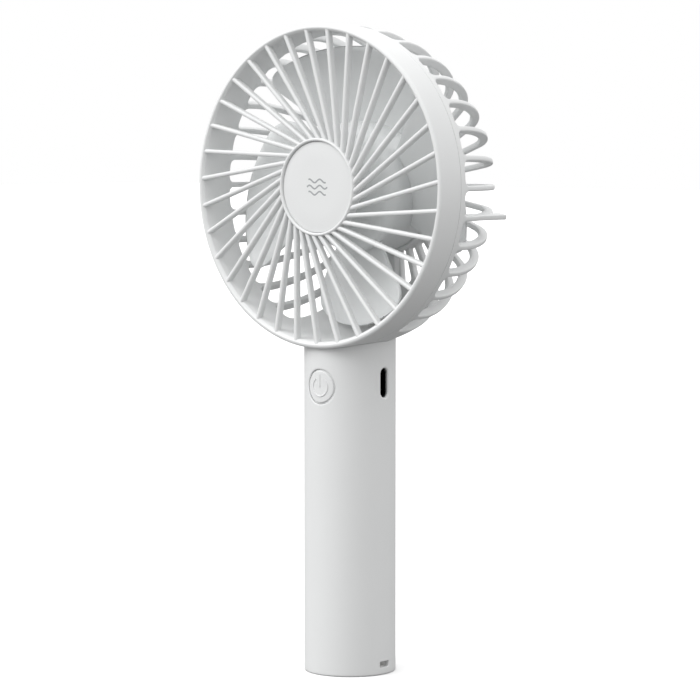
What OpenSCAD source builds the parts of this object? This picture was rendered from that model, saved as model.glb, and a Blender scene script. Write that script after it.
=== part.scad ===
// Handheld electric fan: round caged head on a cylindrical battery handle.
// Millimetres. +Z is up the handle, the fan blows towards -Y, and +X is the side with the
// charging port. The origin is the centre of the handle's flat base.

/* [Handle] */
// Outside diameter of the handle tube
handle_d = 29; // [28:0.5:32]
// Wall thickness of the handle tube
handle_wall = 1.9; // [1.6:0.1:2.2]
// Radius of the rounded edge around the base
base_edge_r = 0.5; // [0.2:0.1:1]

/* [Head] */
// Height of the fan's axis above the base
head_z = 153.4; // [150:0.1:165]
// Outside diameter of the front ring
head_d = 100.6; // [98:0.1:104]
// Distance from the handle's axis forward to the front rim
front_depth = 16.5; // [16:0.1:18]
// Distance from the handle's axis back to the rear face of the cage
rear_depth = 23.4; // [23:0.1:25]
// Wall thickness of the ring at its joint line
ring_wall = 2.8; // [2.4:0.1:3]

/* [Front grille] */
// Number of slanting ribs in the front grille
front_ribs = 35; // [20:1:40]
// Width of a front rib
front_rib_w = 1.4; // [1.1:0.1:1.8]
// Depth of a front rib, front to back
front_rib_depth = 2.4; // [2:0.1:3]
// Distance by which each front rib's line misses the fan's axis
rib_offset = 9.3; // [4:0.1:11]
// Outside diameter of the centre ring that holds the cap
front_hub_d = 30.5; // [28:0.1:34]

/* [Rear cage] */
// Number of rib places around the rear cage
rear_ribs = 34; // [24:2:40]
// Thickness of a rear rib
rear_rib_t = 1.7; // [1.2:0.1:2.2]
// Outside diameter of the rear hub
rear_hub_d = 42; // [42:0.5:44]
// Rib places closed by solid wall where the handle joins
closed_places = 5; // [5:2:7]

/* [Impeller] */
// Number of blades
blades = 4; // [3:1:5]
// Diameter over the blade tips
impeller_d = 88; // [80:1:89]
// Diameter of the impeller's hub
impeller_hub_d = 41; // [40:0.2:41.4]
// Angle that one blade covers, seen from the front
blade_sweep = 70; // [40:1:70]
// Axial depth of a blade
blade_depth = 17.5; // [10:0.5:18]

/* [Controls] */
// Height of the power button's centre
button_z = 91.1; // [88:0.1:92]
// Diameter of the power button
button_d = 10; // [8:0.1:11]
// Travel of the power button
button_travel = 0.4; // [0.2:0.1:0.5]
// Height of the charging port's centre
port_z = 92.2; // [90:0.1:92.5]
// Height of the lanyard slot's centre
lanyard_z = 3.3; // [3:0.1:4]

/* [Battery] */
// Diameter of the battery cell
cell_d = 18.4; // [18:0.1:18.6]
// Length of the battery cell
cell_len = 65; // [60:0.5:66]

/* [Hidden] */
$fn = 96;
eps = 0.01;
handle_r = handle_d / 2;
bore_r = handle_r - handle_wall;
head_r = head_d / 2;
seam_f = 6.8;            // joint line between front ring and rear cage, forward of the axis
slot_f = 4.4;            // front ends of the rear slots
rim_w = 1.2;             // flat lip around the front rim
rim_step = 0.9;          // bevel inside the lip
rim_edge_r = 1;          // rounded outer corner of the rim
inner_r = head_r - ring_wall;
rim_inner_r = head_r - rim_w - rim_step;
front_hub_r = front_hub_d / 2;
front_hub_wall = 1;
hub_front_f = 16.35;     // front of the centre ring
cap_front_f = 15.6;      // front of the cap, just below its ring
hub_floor_f = 12.6;
hub_floor_t = 1.1;
rib_front_f = 16.2;
rib_tip_angle = 2.5;     // where the first rib meets the rim
rib_reach_r = head_r - rim_w + 0.2;
rear_pitch = 360 / rear_ribs;
shell_n = 1.62;          // fullness of the cage's rounded shoulder
shoulder_out = [13.85, rear_depth];
rear_plate_t = 2.5;
shoulder_in = [12.2, rear_depth - rear_plate_t];
rear_hub_r = rear_hub_d / 2;
hub_rim_y = rear_depth + 0.6;
cover_r = rear_hub_r - 2.6;
skirt_t = 1.1;           // collar around the rotor's rear end
skirt_y = 17.3;
cover_t = 1;
wall_inner_r = 33;       // where the closed wall stops on the rear face
tail_y = 17.3;           // square-ended tail on one rib
tail_t = rear_rib_t - 0.1;
tail_place = -1;
neck_r = bore_r - 0.1;
neck_wall = 2;
neck_floor_z = 99;
neck_floor_t = 2;
wire_hole_r = 3;
neck_screw = [7.5, 5.5];
impeller_r = impeller_d / 2;
blade_front_f = 8;
blade_t = 1.5;
first_blade = 42;        // front tip corner of the first blade
hub_r = impeller_hub_d / 2;
hub_wall = 1.6;
can_r = hub_r - hub_wall - 0.05;
can_wall = 0.8;
can_front_y = 2.4;
can_rear_y = 16.6;
magnet_t = 1.8;
air_gap = 0.4;
stator_r = can_r - can_wall - magnet_t - air_gap;
stator_y = [7.5, 15.5];
poles = 6;
yoke_r = 6.4;
tooth_w = 2.6;
shoe_w = 12.4;
end_t = 0.6;             // insulator on each end of the core
coil_x = 7.4;
coil_len = 5.8;
coil_t = 1.35;
shaft_r = 1;
running_gap = 0.03;
housing_r = 3.6;
housing_bore_r = 2.9;
flange_r = 9;
flange_t = 1.4;
housing_front_y = 3.9;
motor_floor_y = rear_depth - rear_plate_t;
flange_y = motor_floor_y - flange_t;
bush_len = 3.5;
board_y = [17.9, 18.9];
board_r = 13;
motor_screw_r = 6.5;
motor_screw_angles = [90, 210, 330];
screw_hole_r = 0.8;
screw_seat_y = 21.9;
button_r = button_d / 2;
button_gap = 0.5;
sign_r = 2.95;            // power sign: ring, line width, gap, top of the bar and height
sign_w = 0.5;
sign_gap = 3.2;
sign_top = 4.1;
sign_h = 0.2;
button_back_y = -9.9;
flange_lip_r = 5.8;
switch_w = 6;
switch_t = 3.5;
plunger_r = 1.7;
plunger_back_y = -0.6;
port_h = 9.3;
port_w = 3.4;
socket_h = 8.94;
socket_w = 3.2;
socket_skin = 0.3;
socket_x = [6, 13.3];
pcb_x = [-10.4, 10];
pcb_hole = 1.4;           // locating holes, in from the board's ends
pcb_y = [1.65, 2.65];
pcb_z = [82, 96.4];
lanyard_w = 4.2;
lanyard_h = 1.9;
plug_t = 5.8;
loop_x = 9.4;             // how far in the lanyard's passage reaches
chassis_r = bore_r - 0.2;
chassis_wall = 1.2;
chassis_z = [7.4, 98.6];
cell_z = 11.4;
deck_t = 1.2;
deck_z = 79.6;
tab_w = 5;
tab_t = 0.2;
tab_z = cell_z + cell_len + 0.55;
lead_r = 0.5;
lead_x = 0.8;
lead_pitch = 1.2;           // between the motor's three leads
channel_w = 5.4;           // covered channel that carries the leads along the closed wall
channel_y = 18.6;
channel_wall = 0.8;
channel_reach = 33.5;

// ---- shared shapes -------------------------------------------------------

// Places children in the head's own frame: +Z forward along the fan's axis, +Y up.
module head() translate([0, 0, head_z]) rotate([90, 0, 0]) children();

// A ring about the local Z axis.
module ring(outer, inner, low, high) {
    translate([0, 0, low]) difference() {
        cylinder(r = outer, h = high - low);
        translate([0, 0, -1]) cylinder(r = inner, h = high - low + 2);
    }
}

// Points on the cage's rounded shoulder: ends at radius `edge`, spans `size` = [radial, axial].
function shoulder(edge, size, steps = 8) = [
    for (i = [0:steps])
        let (t = 90 * i / steps)
        [edge - size[0] + size[0] * pow(cos(t), 2 / shell_n), -size[1] * pow(sin(t), 2 / shell_n)]
];

function reversed(points) = [for (i = [len(points) - 1:-1:0]) points[i]];

// Section of the cage wall from the joint line round the shoulder and in to `inner`.
module cage_section(inner) {
    polygon(concat(
        [[head_r - 1.3, seam_f - 1.7], [head_r - 1.3, seam_f - 0.1], [head_r, seam_f - 0.1]],
        shoulder(head_r, shoulder_out),
        [[inner, -rear_depth], [inner, -rear_depth + rear_plate_t]],
        reversed(shoulder(inner_r, shoulder_in)),
        [[inner_r, seam_f - 1.7]]
    ));
}

// A solid that fills the head where the handle meets it, grown by `gap`, for trimming.
module head_envelope(gap) rotate_extrude() polygon([
    [0, front_depth + 5], [head_r + gap, front_depth + 5], [head_r + gap, -2.5],
    [head_r + gap - 1.75, -9], [head_r + gap - 5, -16], [0, -16]
]);

// A stadium-shaped prism along X: `h` tall in Z, `w` wide in Y.
module stadium_x(h, w, x0, x1) {
    for (s = [-1, 1]) translate([x0, 0, s * (h - w) / 2]) rotate([0, 90, 0])
        cylinder(d = w, h = x1 - x0, $fn = 48);
    translate([x0, -w / 2, -(h - w) / 2]) cube([x1 - x0, w, h - w]);
}

// A wire swept along points that lie in planes of nearly constant x.
function wire_ring(points, i, r, sides) =
    let (
        ahead = points[min(i + 1, len(points) - 1)] - points[i],
        behind = points[i] - points[max(i - 1, 0)],
        way = (norm(ahead) > 0 ? ahead / norm(ahead) : [0, 0, 0])
            + (norm(behind) > 0 ? behind / norm(behind) : [0, 0, 0]),
        side = cross(way / norm(way), [1, 0, 0]),
        up = side / norm(side)
    )
    [for (k = [0:sides - 1])
        points[i] + r * (cos(k * 360 / sides) * [1, 0, 0] + sin(k * 360 / sides) * up)];

module wire(points, r, sides = 10) {
    last = len(points) - 1;
    polyhedron(
        points = [for (i = [0:last]) each wire_ring(points, i, r, sides)],
        faces = concat(
            [[for (k = [0:sides - 1]) k]],
            [for (i = [0:last - 1], k = [0:sides - 1]) [
                i * sides + k, (i + 1) * sides + k,
                (i + 1) * sides + (k + 1) % sides, i * sides + (k + 1) % sides]],
            [[for (k = [sides - 1:-1:0]) last * sides + k]]
        )
    );
}

// A pan-head screw along local Z with its tip at z = 0 and its head at the far end.
module screw(r, length, pan_r, pan_h) {
    cylinder(r = r, h = length + eps, $fn = 32);
    translate([0, 0, length]) difference() {
        cylinder(r = pan_r, h = pan_h, $fn = 32);
        for (a = [0, 90]) rotate([0, 0, a])
            translate([-pan_r * 0.6, -0.2, pan_h - 0.4]) cube([pan_r * 1.2, 0.4, 1]);
    }
}

// ---- head shells ---------------------------------------------------------

module front_rib() {
    start = sqrt(pow(front_hub_r - front_hub_wall / 2, 2) - rib_offset * rib_offset);
    finish = sqrt(rib_reach_r * rib_reach_r - rib_offset * rib_offset);
    translate([start, -rib_offset - front_rib_w / 2, rib_front_f - front_rib_depth])
        cube([finish - start, front_rib_w, front_rib_depth]);
}

module front_grille() color("whitesmoke") head() {
    rib_turn = rib_tip_angle + asin(rib_offset / rib_reach_r);
    rotate_extrude($fn = 180) {
        polygon(concat(
            [[head_r, seam_f], [head_r, front_depth - rim_edge_r]],
            [for (a = [15:15:90]) [
                head_r - rim_edge_r + rim_edge_r * cos(a),
                front_depth - rim_edge_r + rim_edge_r * sin(a)]],
            [[head_r - rim_w, front_depth], [rim_inner_r, front_depth - rim_step],
             [inner_r, seam_f], [inner_r, seam_f - 1.6], [head_r - 1.4, seam_f - 1.6],
             [head_r - 1.4, seam_f]]
        ));
    }
    rotate_extrude() polygon([
        [front_hub_r, hub_floor_f], [front_hub_r, hub_front_f],
        [front_hub_r - front_hub_wall, hub_front_f],
        [front_hub_r - front_hub_wall, hub_floor_f + hub_floor_t], [3, hub_floor_f + hub_floor_t],
        [3, hub_floor_f]
    ]);
    for (i = [0:front_ribs - 1]) rotate([0, 0, rib_turn + i * 360 / front_ribs]) front_rib();
}

module hub_cap() color("gainsboro") head() {
    cap_r = front_hub_r - front_hub_wall - 0.1;
    rotate_extrude() polygon([
        [0, cap_front_f], [cap_r - 0.3, cap_front_f], [cap_r, cap_front_f - 0.3],
        [cap_r, hub_floor_f + hub_floor_t + 0.05], [2.8, hub_floor_f + hub_floor_t + 0.05],
        [2.8, hub_floor_f - 1.2], [0, hub_floor_f - 1.2]
    ]);
}

// The space between two neighbouring ribs, centred on +X, from the hub out to `reach`.
module rear_slot(reach) {
    half = rear_pitch / 2;
    start = rear_hub_r + 0.3;
    narrow = start * tan(half) - rear_rib_t / 2 / cos(half);
    wide = reach * tan(half) - rear_rib_t / 2 / cos(half);
    translate([0, 0, -rear_depth - 1]) linear_extrude(rear_depth + 1 + slot_f)
        polygon([[start, narrow], [start, -narrow], [reach, -wide], [reach, wide]]);
}

module rear_slots() for (i = [0:rear_ribs - 1]) {
    turn = (i + 0.5) * rear_pitch;
    closed = abs(turn - 270) < closed_places * rear_pitch / 2;
    rotate([0, 0, turn]) rear_slot(closed ? wall_inner_r : head_r + 5);
}

module rear_rib_tail() rotate([90, 0, 0]) translate([0, 0, -tail_t / 2])
    linear_extrude(tail_t) translate([inner_r - 0.9, -tail_y]) square([3.2, tail_y + slot_f - 1]);

// Collar that shrouds the rotor's rear end, notched where the leads pass.
module rotor_skirt() difference() {
    ring(rear_hub_r, rear_hub_r - skirt_t, -motor_floor_y - 0.5, -skirt_y);
    translate([-lead_pitch - 0.8, -rear_hub_r - 1, -motor_floor_y])
        cube([2 * lead_pitch + 1.6, skirt_t + 2, motor_floor_y - channel_y - channel_wall]);
}

// Covered channel for the motor's leads, from the collar out along the closed wall.
module lead_channel() difference() {
    translate([-channel_w / 2, -channel_reach, -motor_floor_y - 0.5])
        cube([channel_w, channel_reach - rear_hub_r + skirt_t / 2, motor_floor_y + 0.5 - channel_y]);
    translate([-lead_pitch - 0.8, -channel_reach - 1, -motor_floor_y])
        cube([2 * lead_pitch + 1.6, channel_reach, motor_floor_y - channel_y - channel_wall]);
}

module neck() translate([0, 0, neck_floor_z]) difference() {
    cylinder(r = neck_r, h = head_z - head_r - neck_floor_z + 3);
    translate([0, 0, neck_floor_t]) cylinder(r = neck_r - neck_wall, h = 20);
    translate([0, 0, -1]) cylinder(r = wire_hole_r, h = 20);
    for (s = [-1, 1]) translate([s * neck_screw[0], neck_screw[1], -1])
        cylinder(r = screw_hole_r, h = 6, $fn = 32);
}

module rear_cage() color("whitesmoke") {
    head() {
        difference() {
            rotate_extrude($fn = 180) cage_section(rear_hub_r - 1);
            rear_slots();
            // passage for the motor's leads down into the handle
            translate([0, -42.2, -12.2]) rotate([63, 0, 0]) cylinder(r = 2.2, h = 12, $fn = 48);
        }
        rotate([0, 0, tail_place * rear_pitch]) rear_rib_tail();
        rotor_skirt();
        lead_channel();
        difference() {
            ring(rear_hub_r, housing_r + 0.02, -hub_rim_y, -motor_floor_y);
            ring(cover_r + 0.1, 0, -hub_rim_y - 1, -rear_depth + 0.5);
            for (a = motor_screw_angles) rotate([0, 0, a]) translate([motor_screw_r, 0, -30]) {
                cylinder(r = 1.15, h = 20, $fn = 32);
                cylinder(r = 2, h = 30 - screw_seat_y, $fn = 32);
            }
            rotate([0, 0, -90]) translate([11, 0, -rear_depth]) cylinder(r = 1.6, h = 10, $fn = 32);
        }
    }
}

// Saddle-shaped collar between the head's ring and the handle tube.
module neck_collar() color("whitesmoke") difference() {
    neck();
    head() head_envelope(0.05);
}

module rear_hub_cover() color("gainsboro") head() {
    low = -rear_depth - 0.5;
    ring(cover_r, 0, low, low + cover_t - 0.05);
}

// ---- impeller and motor --------------------------------------------------

// One blade: a tilted plate, a sector seen from the front, with its middle along +X.
module blade() {
    half = blade_sweep / 2;
    tilt = asin(blade_depth / (2 * impeller_r * sin(half)));
    difference() {
        intersection() {
            cylinder(r = impeller_r, h = 60, center = true);
            translate([0, 0, blade_front_f - blade_depth / 2]) rotate([tilt, 0, 0])
                translate([0, 0, -blade_t / 2]) linear_extrude(blade_t)
                    polygon([[0, 0], 2 * impeller_r * [cos(half), -sin(half)],
                             2 * impeller_r * [cos(half), sin(half)]]);
        }
        cylinder(r = hub_r - 0.8, h = 80, center = true);
    }
}

module impeller() color("gainsboro") head() {
    pocket_r = hub_r - hub_wall;
    rotate_extrude() polygon([
        [0, 3], [hub_r - 4.5, 2.6], [hub_r - 2, 1.7], [hub_r - 0.4, 0.2], [hub_r, -1.4],
        [hub_r, -can_rear_y],
        [pocket_r, -can_rear_y], [pocket_r, -can_front_y + 0.05], [12, -can_front_y + 0.05],
        [12, 0.8], [0, 0.8]
    ]);
    for (i = [0:blades - 1]) rotate([0, 0, first_blade - blade_sweep / 2 + i * 360 / blades])
        blade();
}

module rotor_can() color("silver") head() {
    ring(can_r, can_r - can_wall, -can_rear_y, -can_front_y);
    ring(can_r, shaft_r, -can_front_y - can_wall, -can_front_y);
    ring(3, shaft_r, -can_front_y - can_wall, -can_front_y + 1.8);
}

module magnet_ring() color("dimgray") head()
    ring(can_r - can_wall, can_r - can_wall - magnet_t, -can_rear_y + 0.4, -stator_y[0] + 1.5);

module motor_shaft() color("silver") head() difference() {
    translate([0, 0, -20.2]) cylinder(r = shaft_r, h = 19.6, $fn = 48);
    ring(shaft_r + 1, shaft_r - 0.25, -19.65, -19.25);
}

module shaft_clip() color("goldenrod") head() difference() {
    ring(2.2, shaft_r - 0.25, -19.65, -19.25);
    translate([0, -0.6, -21]) cube([4, 1.2, 4]);
}

module bearing_housing() color("darkgoldenrod") head() difference() {
    union() {
        ring(housing_r, housing_bore_r, -motor_floor_y, -housing_front_y);
        ring(flange_r, housing_bore_r, -motor_floor_y, -flange_y);
    }
    for (a = motor_screw_angles) rotate([0, 0, a]) translate([motor_screw_r, 0, -22])
        cylinder(r = screw_hole_r, h = 10, $fn = 32);
}

module front_bush() color("peru") head()
    ring(housing_bore_r, shaft_r + running_gap, -housing_front_y - bush_len, -housing_front_y - 0.3);

module rear_bush() color("peru") head()
    ring(housing_bore_r, shaft_r + running_gap, -board_y[1], -board_y[1] + bush_len);

// One pole of the stator: a tooth with a wide curved shoe.
module pole(low, high, shoe_t) {
    difference() {
        translate([0, -tooth_w / 2, low]) cube([stator_r - 0.3, tooth_w, high - low]);
        translate([0, 0, low - 1]) cylinder(r = housing_r + 1, h = high - low + 2);
    }
    intersection() {
        ring(stator_r, stator_r - shoe_t, low, high);
        translate([0, -shoe_w / 2, low]) cube([stator_r + 1, shoe_w, high - low]);
    }
}

module stator_core() color("slategray") head() {
    ring(yoke_r, housing_r, -stator_y[1], -stator_y[0]);
    for (i = [0:poles - 1]) rotate([0, 0, i * 360 / poles])
        pole(-stator_y[1], -stator_y[0], 1.3);
}

module stator_insulator() color("seagreen") head()
    for (low = [-stator_y[1] - end_t, -stator_y[0]]) {
        ring(yoke_r, housing_r + 0.05, low, low + end_t);
        for (i = [0:poles - 1]) rotate([0, 0, i * 360 / poles]) pole(low, low + end_t, 1);
    }

module stator_windings() color("chocolate") head()
    for (i = [0:poles - 1]) rotate([0, 0, i * 360 / poles]) difference() {
        core_h = stator_y[1] - stator_y[0] + 2 * end_t + 0.1;
        core_w = tooth_w + 0.1;
        middle = -(stator_y[0] + stator_y[1]) / 2;
        translate([coil_x, -core_w / 2 - coil_t, middle - core_h / 2 - coil_t * 0.7])
            cube([coil_len, core_w + 2 * coil_t, core_h + coil_t * 1.4]);
        translate([coil_x - 1, -core_w / 2, middle - core_h / 2]) cube([coil_len + 2, core_w, core_h]);
    }

module motor_board() color("darkgreen") head() {
    ring(board_r, housing_r + 0.1, -board_y[1], -board_y[0]);
    for (a = [30, 150]) rotate([0, 0, a]) translate([10, -1.4, -board_y[1] - 0.9])
        cube([2, 2.8, 1]);
}

module motor_screws() color("silver") head()
    for (a = motor_screw_angles) rotate([0, 0, a]) translate([motor_screw_r, 0, -flange_y - 0.1])
        rotate([180, 0, 0]) screw(0.95, screw_seat_y - flange_y - 0.1, 1.7, 0.7);

// Three leads from the motor board, along the cage's closed wall, down to the control board.
module motor_leads() color("white") for (x = [-lead_pitch, 0, lead_pitch]) wire([
    [x, 19.6, head_z - 11.4], [x, 20.1, head_z - 15], [x, 20.1, head_z - 34],
    [x, 17.2, head_z - 38.6], [x, 14.2, head_z - 41], [x, 12.2, head_z - 42.2],
    [x, 8.2, head_z - 50], [x, 5, neck_floor_z + 3.4], [x, 1.4, neck_floor_z + 2.6],
    [x, 0.9, neck_floor_z], [x, 0.9, pcb_z[1] - 1.8]
], lead_r);

// ---- handle --------------------------------------------------------------

module handle_tube() color("whitesmoke") difference() {
    top = head_z - head_r + 6;
    rotate_extrude($fn = 180) polygon(concat(
        [[bore_r, 0]],
        [for (a = [-90:15:0]) [
            handle_r - base_edge_r + base_edge_r * cos(a), base_edge_r + base_edge_r * sin(a)]],
        [[handle_r, top], [bore_r, top]]
    ));
    head() head_envelope(0.1);
    translate([0, 0, button_z]) rotate([90, 0, 0]) cylinder(r = button_r + button_gap, h = 20);
    translate([0, 0, port_z]) stadium_x(port_h, port_w, 8, 20);
    translate([5, -lanyard_w / 2, lanyard_z - lanyard_h / 2]) cube([15, lanyard_w, lanyard_h]);
}

module base_plug() color("whitesmoke") difference() {
    cylinder(r = bore_r - 0.05, h = plug_t);
    // the slot turns down behind a short bar and comes out of the base
    translate([loop_x, -lanyard_w / 2, lanyard_z - lanyard_h / 2]) cube([10, lanyard_w, lanyard_h]);
    translate([loop_x, -lanyard_w / 2, -1]) cube([lanyard_h, lanyard_w, lanyard_z + lanyard_h / 2 + 1]);
}

module neck_screws() color("silver") for (s = [-1, 1])
    translate([s * neck_screw[0], neck_screw[1], neck_floor_z + 1.8]) rotate([180, 0, 0])
        screw(0.95, neck_floor_z + 1.8 - chassis_z[1] + deck_t, 1.8, 0.7);

module power_symbol(depth) {
    linear_extrude(depth) {
        difference() {
            circle(r = sign_r + sign_w / 2);
            circle(r = sign_r - sign_w / 2);
            translate([-sign_gap / 2, 1]) square([sign_gap, 4]);
        }
        translate([-sign_w / 2, 0]) square([sign_w, sign_top]);
    }
}

module power_button() color("whitesmoke") {
    translate([0, 0, button_z]) rotate([90, 0, 0]) {
        intersection() {
            translate([0, 0, -button_back_y]) cylinder(r = button_r, h = 10);
            translate([0, button_z - 60, 0]) rotate([90, 0, 0]) cylinder(r = handle_r, h = 90, center = true);
        }
        translate([0, 0, -button_back_y]) cylinder(r = flange_lip_r, h = 0.8);
    }
    intersection() {
        translate([0, -12, button_z]) rotate([90, 0, 0]) power_symbol(4);
        cylinder(r = handle_r + sign_h, h = head_z);
    }
}

module switch_body() color("dimgray") difference() {
    translate([-switch_w / 2, pcb_y[0] - switch_t, button_z - switch_w / 2])
        cube([switch_w, switch_t, switch_w]);
    translate([0, plunger_back_y + button_travel + 0.4, button_z]) rotate([90, 0, 0])
        cylinder(r = plunger_r + 0.3, h = 10, $fn = 48);
}

module switch_plunger() color("black") translate([0, plunger_back_y, button_z])
    rotate([90, 0, 0]) cylinder(r = plunger_r, h = plunger_back_y - button_back_y - 0.1, $fn = 48);

module switch_dome() color("silver") translate([0, 0.18, button_z]) rotate([90, 0, 0])
    cylinder(r = plunger_r + 0.1, h = 0.15, $fn = 48);

module control_board() color("darkgreen") difference() {
    translate([pcb_x[0], pcb_y[0], pcb_z[0]])
        cube([pcb_x[1] - pcb_x[0], pcb_y[1] - pcb_y[0], pcb_z[1] - pcb_z[0]]);
    for (x = [pcb_x[0] + pcb_hole, pcb_x[1] - pcb_hole]) translate([x, 10, pcb_z[0] + 1.6])
        rotate([90, 0, 0]) cylinder(r = 0.7, h = 20, $fn = 32);
}

// Charger chip, motor driver, inductor and capacitors on the back of the control board.
module board_components() color("black") translate([0, pcb_y[1], 0]) {
    for (place = [[-6, 86, 4, 4, 1], [1, 86, 5, 4, 1.4], [-7, 92.5, 3, 3, 1], [6, 87, 2, 1.2, 0.9],
                  [6, 90, 2, 1.2, 0.9], [-2, 94, 1.6, 0.8, 0.6], [2, 94, 1.6, 0.8, 0.6]])
        translate([place[0] - place[2] / 2, 0, place[1] - place[3] / 2])
            cube([place[2], place[4], place[3]]);
    translate([1.5, 0, 91]) rotate([-90, 0, 0]) cylinder(r = 2, h = 2.4, $fn = 48);
}

module usb_shell() color("silver") translate([0, 0, port_z]) difference() {
    stadium_x(socket_h, socket_w, socket_x[0], socket_x[1]);
    stadium_x(socket_h - 2 * socket_skin, socket_w - 2 * socket_skin,
              socket_x[0] + 0.6, socket_x[1] + 1);
}

module usb_tongue() color("black") translate([socket_x[0] + 0.65, -0.35, port_z - 3.35])
    cube([5, 0.7, 6.7]);

// Open carrier inside the handle: holds the cell, the decks and the control board.
module battery_chassis() color("lightgray") difference() {
    union() {
        ring(chassis_r, chassis_r - chassis_wall, chassis_z[0], chassis_z[1]);
        for (z = [chassis_z[0], deck_z, chassis_z[1] - deck_t])
            translate([0, 0, z]) cylinder(r = chassis_r - 0.5, h = deck_t);
        for (s = [-1, 1]) translate([s * 10.6 - 1.2, pcb_y[1] + 0.05, deck_z + 1])
            cube([2.4, 1.6, chassis_z[1] - deck_z - 2]);
    }
    // open front, between and above the decks
    translate([-20, -20, chassis_z[0] + deck_t]) cube([40, 16, deck_z - chassis_z[0] - deck_t]);
    translate([-20, -20, deck_z + deck_t]) cube([40, 20 + pcb_y[1], chassis_z[1] - deck_z - 2 * deck_t]);
    // lead holes
    for (z = [deck_z, chassis_z[1] - deck_t]) translate([0, 5.4, z - 1])
        cylinder(r = 1.9, h = deck_t + 2, $fn = 48);
    translate([0, 0.9, chassis_z[1] - deck_t - 1]) cylinder(r = 2.4, h = 4, $fn = 48);
    for (s = [-1, 1]) translate([s * neck_screw[0], neck_screw[1], chassis_z[1] - 3])
        cylinder(r = 1.15, h = 6, $fn = 32);
}

module battery_cell() color("royalblue") translate([0, 0, cell_z]) {
    cylinder(d = cell_d, h = cell_len);
    translate([0, 0, cell_len - eps]) cylinder(r = 3, h = 0.5);
}

module battery_tabs() color("silver") {
    low_z = cell_z - tab_t - 0.05;
    translate([-tab_w / 2, -4, tab_z]) cube([tab_w, 9, tab_t]);
    translate([-tab_w / 2, -4, low_z]) cube([tab_w, 14, tab_t]);
    translate([-tab_w / 2, 10 - tab_t, low_z]) cube([tab_w, tab_t, 10]);
}

// Positive and negative leads from the cell's tabs up to the control board.
module battery_leads() color("crimson") {
    wire([[lead_x, 4.4, tab_z + tab_t + 0.75], [lead_x, 5.4, deck_z + 3], [lead_x, 3.6, pcb_z[0] + 1.2]],
         lead_r);
    wire([[-1, 10.55, cell_z + 6], [-1, 10.55, deck_z - 3.2], [-lead_x, 5.6, deck_z - 0.4],
          [-lead_x, 5.6, deck_z + 3], [-lead_x, 3.6, pcb_z[0] + 1.2]], lead_r);
}

module battery_foam() color("gray") translate([0, 0, chassis_z[0] + deck_t + 0.05])
    cylinder(r = 7.5, h = cell_z - 0.3 - chassis_z[0] - deck_t - 0.05);

front_grille();
hub_cap();
rear_cage();
rear_hub_cover();
neck_collar();
impeller();
rotor_can();
magnet_ring();
motor_shaft();
shaft_clip();
bearing_housing();
front_bush();
rear_bush();
stator_core();
stator_insulator();
stator_windings();
motor_board();
motor_screws();
motor_leads();
handle_tube();
base_plug();
neck_screws();
power_button();
switch_body();
switch_plunger();
switch_dome();
control_board();
board_components();
usb_shell();
usb_tongue();
battery_chassis();
battery_cell();
battery_tabs();
battery_leads();
battery_foam();
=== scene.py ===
"""Handheld electric fan: a round caged head on a cylindrical battery handle.

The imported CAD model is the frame: every place below is read from it or worked out from it.
Lengths are millimetres until a point becomes a vertex, and the fan blows towards -Y.
"""

import logging
import math
from collections.abc import Callable, Sequence
from dataclasses import dataclass
from enum import Enum
from itertools import pairwise
from typing import ClassVar

import bmesh
import bpy
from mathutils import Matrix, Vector


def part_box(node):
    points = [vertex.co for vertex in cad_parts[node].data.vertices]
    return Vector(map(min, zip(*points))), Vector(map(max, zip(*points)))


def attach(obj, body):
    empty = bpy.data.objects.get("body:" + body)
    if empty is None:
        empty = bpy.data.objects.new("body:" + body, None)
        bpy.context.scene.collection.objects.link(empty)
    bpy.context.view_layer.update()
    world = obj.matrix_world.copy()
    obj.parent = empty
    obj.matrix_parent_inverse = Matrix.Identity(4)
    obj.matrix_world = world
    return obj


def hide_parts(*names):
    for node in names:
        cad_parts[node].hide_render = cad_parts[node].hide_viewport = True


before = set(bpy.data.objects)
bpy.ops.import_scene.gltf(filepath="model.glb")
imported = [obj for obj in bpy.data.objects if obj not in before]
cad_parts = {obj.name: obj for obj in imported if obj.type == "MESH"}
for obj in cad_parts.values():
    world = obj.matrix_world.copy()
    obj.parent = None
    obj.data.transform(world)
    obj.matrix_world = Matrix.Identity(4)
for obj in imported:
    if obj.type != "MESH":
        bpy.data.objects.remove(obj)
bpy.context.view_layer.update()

MM = 0.001
# The shadow line between grille and cage, and the small chamfers beside it.
SEAM_GAP = 0.1
SEAM_CHAMFER = 0.12
# Steps round a disc or a ring, fine enough to look round.
DISC_STEPS = 144
LOG = logging.getLogger("fan")

Point = tuple[float, float, float]
Outline = list[tuple[float, float]]
Row = list[bmesh.types.BMVert]


class Body(Enum):
    """The bodies that pieces ride on."""

    FIXED = "root"
    SPINNING = "rotor"
    PRESSED = "button"


# ---- places read from the CAD frame ------------------------------------------------------


def node_box(node: str) -> tuple[Vector, Vector]:
    """Gives a CAD node's lowest and highest corners in millimetres.

    Args:
        node: The node's name.

    Returns:
        The two corners.
    """
    low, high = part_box(node)
    return Vector(low) / MM, Vector(high) / MM


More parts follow.
